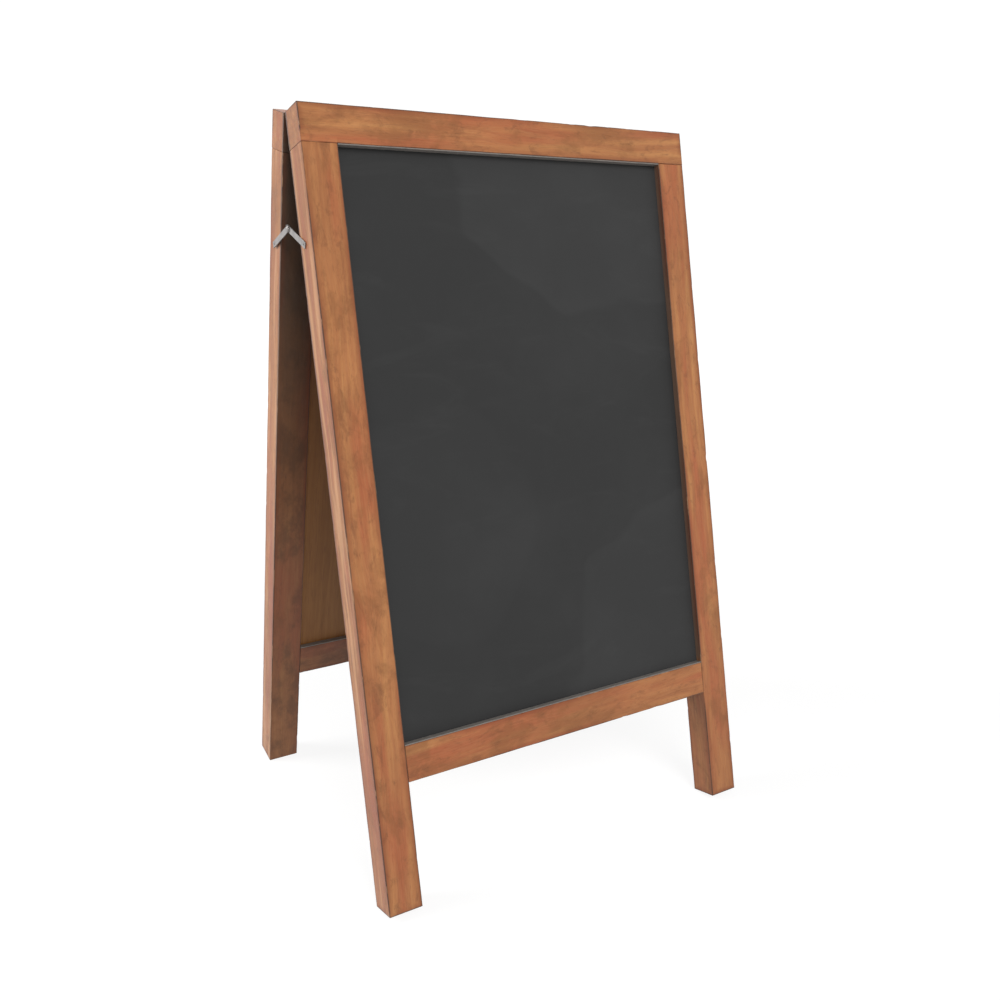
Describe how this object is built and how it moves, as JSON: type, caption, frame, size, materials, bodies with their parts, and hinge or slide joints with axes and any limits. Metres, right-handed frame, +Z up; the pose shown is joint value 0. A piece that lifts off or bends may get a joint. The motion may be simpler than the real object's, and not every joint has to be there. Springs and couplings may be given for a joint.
{
  "type": "sandwich board",
  "caption": "Folding wooden A-board with a dark chalk panel in each of its frames, hinged along the top rails and held open by folding stays.",
  "frame": {"origin": "on the floor, midway between the four feet, under the hinge line", "axes": "+X along the board's width, -Y out of the front chalk panel, +Z up"},
  "size_m": [0.609, 0.5102, 1.0012],
  "materials": {
    "front_backing_board": "stained board, satin lacquer",
    "front_bottom_channel": "mill finish",
    "front_bottom_rail": "warm brown stain, satin lacquer, worn arrises",
    "front_chalk_panel": "matt black chalkboard coating",
    "front_dowels": "plain beech",
    "front_hinge_screws": "zinc plated",
    "front_left_stile": "warm brown stain, satin lacquer, worn arrises",
    "front_right_stile": "warm brown stain, satin lacquer, worn arrises",
    "front_stay_screws": "zinc plated",
    "front_top_channel": "mill finish",
    "front_top_rail": "warm brown stain, satin lacquer, worn arrises",
    "left_hinge_front_leaf": "zinc plated",
    "left_hinge_pin": "zinc plated",
    "left_hinge_rear_leaf": "zinc plated",
    "left_stay_front_arm": "zinc plated",
    "left_stay_rear_arm": "zinc plated",
    "left_stay_rivet_head": "zinc plated",
    "left_stay_rivet_tail": "zinc plated",
    "rear_backing_board": "stained board, satin lacquer",
    "rear_bottom_channel": "mill finish",
    "rear_bottom_rail": "warm brown stain, satin lacquer, worn arrises",
    "rear_chalk_panel": "matt black chalkboard coating",
    "rear_dowels": "plain beech",
    "rear_hinge_screws": "zinc plated",
    "rear_left_stile": "warm brown stain, satin lacquer, worn arrises",
    "rear_right_stile": "warm brown stain, satin lacquer, worn arrises",
    "rear_stay_screws": "zinc plated",
    "rear_stay_spacers": "zinc plated",
    "rear_top_channel": "mill finish",
    "rear_top_rail": "warm brown stain, satin lacquer, worn arrises",
    "right_hinge_front_leaf": "zinc plated",
    "right_hinge_pin": "zinc plated",
    "right_hinge_rear_leaf": "zinc plated",
    "right_stay_front_arm": "zinc plated",
    "right_stay_rear_arm": "zinc plated",
    "right_stay_rivet_head": "zinc plated",
    "right_stay_rivet_tail": "zinc plated"
  },
  "bodies": {
    "front_frame": {"front_top_rail": "front_top_rail", "front_bottom_rail": "front_bottom_rail", "front_left_stile": "front_left_stile", "front_right_stile": "front_right_stile", "front_dowels": "front_dowels", "front_chalk_panel": "front_chalk_panel", "front_backing_board": "front_backing_board", "front_top_channel": "front_top_channel", "front_bottom_channel": "front_bottom_channel", "left_hinge_front_leaf": "left_hinge_front_leaf", "right_hinge_front_leaf": "right_hinge_front_leaf", "front_hinge_screws": "front_hinge_screws", "front_stay_screws": "front_stay_screws", "left_hinge_pin": "left_hinge_pin", "right_hinge_pin": "right_hinge_pin"},
    "rear_frame": {"rear_top_rail": "rear_top_rail", "rear_bottom_rail": "rear_bottom_rail", "rear_left_stile": "rear_left_stile", "rear_right_stile": "rear_right_stile", "rear_dowels": "rear_dowels", "rear_chalk_panel": "rear_chalk_panel", "rear_backing_board": "rear_backing_board", "rear_top_channel": "rear_top_channel", "rear_bottom_channel": "rear_bottom_channel", "left_hinge_rear_leaf": "left_hinge_rear_leaf", "right_hinge_rear_leaf": "right_hinge_rear_leaf", "rear_hinge_screws": "rear_hinge_screws", "rear_stay_screws": "rear_stay_screws", "rear_stay_spacers": "rear_stay_spacers"},
    "left_front_arm": {"left_stay_front_arm": "left_stay_front_arm", "left_stay_rivet_tail": "left_stay_rivet_tail"},
    "left_rear_arm": {"left_stay_rear_arm": "left_stay_rear_arm", "left_stay_rivet_head": "left_stay_rivet_head"},
    "right_front_arm": {"right_stay_front_arm": "right_stay_front_arm", "right_stay_rivet_tail": "right_stay_rivet_tail"},
    "right_rear_arm": {"right_stay_rear_arm": "right_stay_rear_arm", "right_stay_rivet_head": "right_stay_rivet_head"}
  },
  "joints": [
    {"name": "fold", "type": "hinge", "parent": "front_frame", "child": "rear_frame", "pos_m": [0, 0, 0.99678], "axis": [1, 0, 0], "range_deg": [-24.1, 0]},
    {"name": "left_front_arm_pivot", "type": "hinge", "parent": "front_frame", "child": "left_front_arm", "pos_m": [-0.30095, -0.05194, 0.83608], "axis": [1, 0, 0], "range_deg": [0, 40.17]},
    {"name": "left_rear_arm_pivot", "type": "hinge", "parent": "rear_frame", "child": "left_rear_arm", "pos_m": [-0.30265, 0.05194, 0.83608], "axis": [1, 0, 0], "range_deg": [-40.17, 0]},
    {"name": "right_front_arm_pivot", "type": "hinge", "parent": "front_frame", "child": "right_front_arm", "pos_m": [0.30095, -0.05194, 0.83608], "axis": [1, 0, 0], "range_deg": [0, 40.17]},
    {"name": "right_rear_arm_pivot", "type": "hinge", "parent": "rear_frame", "child": "right_rear_arm", "pos_m": [0.30265, 0.05194, 0.83608], "axis": [1, 0, 0], "range_deg": [-40.17, 0]}
  ],
  "couplings": [
    {"joint": "left_front_arm_pivot", "follows": "fold", "ratio": -1.6647},
    {"joint": "left_rear_arm_pivot", "follows": "fold", "ratio": 1.6647},
    {"joint": "right_front_arm_pivot", "follows": "fold", "ratio": -1.6647},
    {"joint": "right_rear_arm_pivot", "follows": "fold", "ratio": 1.6647}
  ]
}
